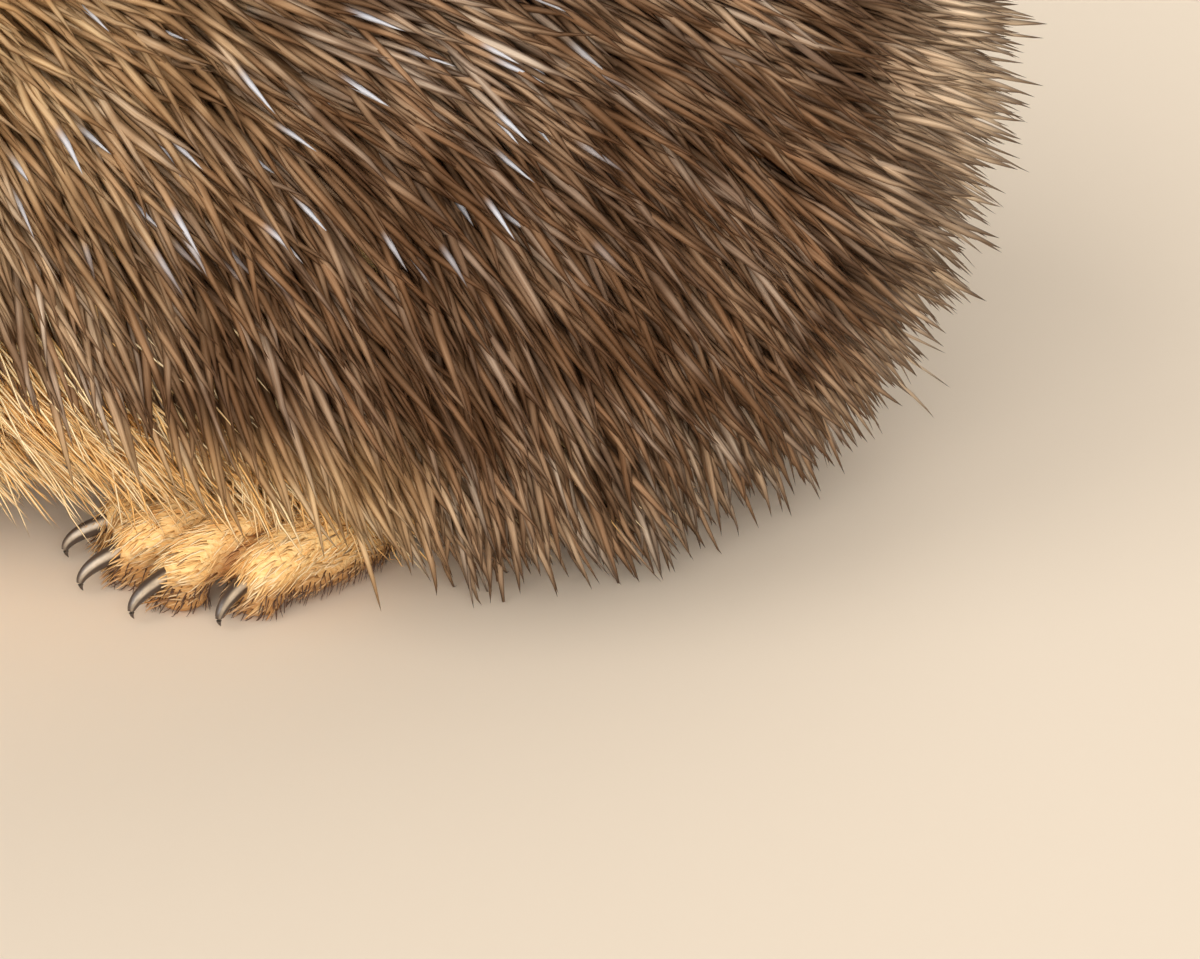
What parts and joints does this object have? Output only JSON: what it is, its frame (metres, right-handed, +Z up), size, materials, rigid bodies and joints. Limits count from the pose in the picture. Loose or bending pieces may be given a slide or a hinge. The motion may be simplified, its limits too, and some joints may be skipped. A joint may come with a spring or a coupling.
{
  "type": "hedgehog",
  "caption": "Life-size hedgehog standing in a slow walk, spiny coat laid back like a skirt, long snout, round ears, four clawed feet.",
  "frame": {"origin": "on the floor under the middle of the bounding box", "axes": "the animal faces -Y, its left side is +X, +Z is up"},
  "size_m": [0.136, 0.241, 0.1289],
  "materials": {
    "spines": "keratin spines, dark brown edges with a paler tan streak, dark or cream tips",
    "body_fur": "golden ochre fur, coarse and wavy on the belly, short on legs and feet",
    "face_fur": "short brown fur, darker round the eyes and along the muzzle",
    "nose": "moist black skin with a fine pebbled grain",
    "eye": "glossy black-brown eye",
    "claw": "curved grey-brown horn, darker along the underside and tip"
  },
  "bodies": {
    "root": {"head": "face_fur", "lower_jaw": "face_fur", "nose": "nose", "eye_left": "eye", "eye_right": "eye", "ear_left": "face_fur", "ear_right": "face_fur", "neck": "spines", "trunk": "spines", "tail": "body_fur", "hind_left_leg": "body_fur", "hind_left_foot": "body_fur", "hind_left_claw_1": "claw", "hind_left_claw_2": "claw", "hind_left_claw_3": "claw", "hind_left_claw_4": "claw", "hind_left_claw_5": "claw", "hind_right_leg": "body_fur", "hind_right_foot": "body_fur", "hind_right_claw_1": "claw", "hind_right_claw_2": "claw", "hind_right_claw_3": "claw", "hind_right_claw_4": "claw", "hind_right_claw_5": "claw", "fore_left_leg": "body_fur", "fore_left_foot": "body_fur", "fore_left_claw_1": "claw", "fore_left_claw_2": "claw", "fore_left_claw_3": "claw", "fore_left_claw_4": "claw", "fore_left_claw_5": "claw", "fore_right_leg": "body_fur", "fore_right_foot": "body_fur", "fore_right_claw_1": "claw", "fore_right_claw_2": "claw", "fore_right_claw_3": "claw", "fore_right_claw_4": "claw", "fore_right_claw_5": "claw"}
  },
  "joints": []
}
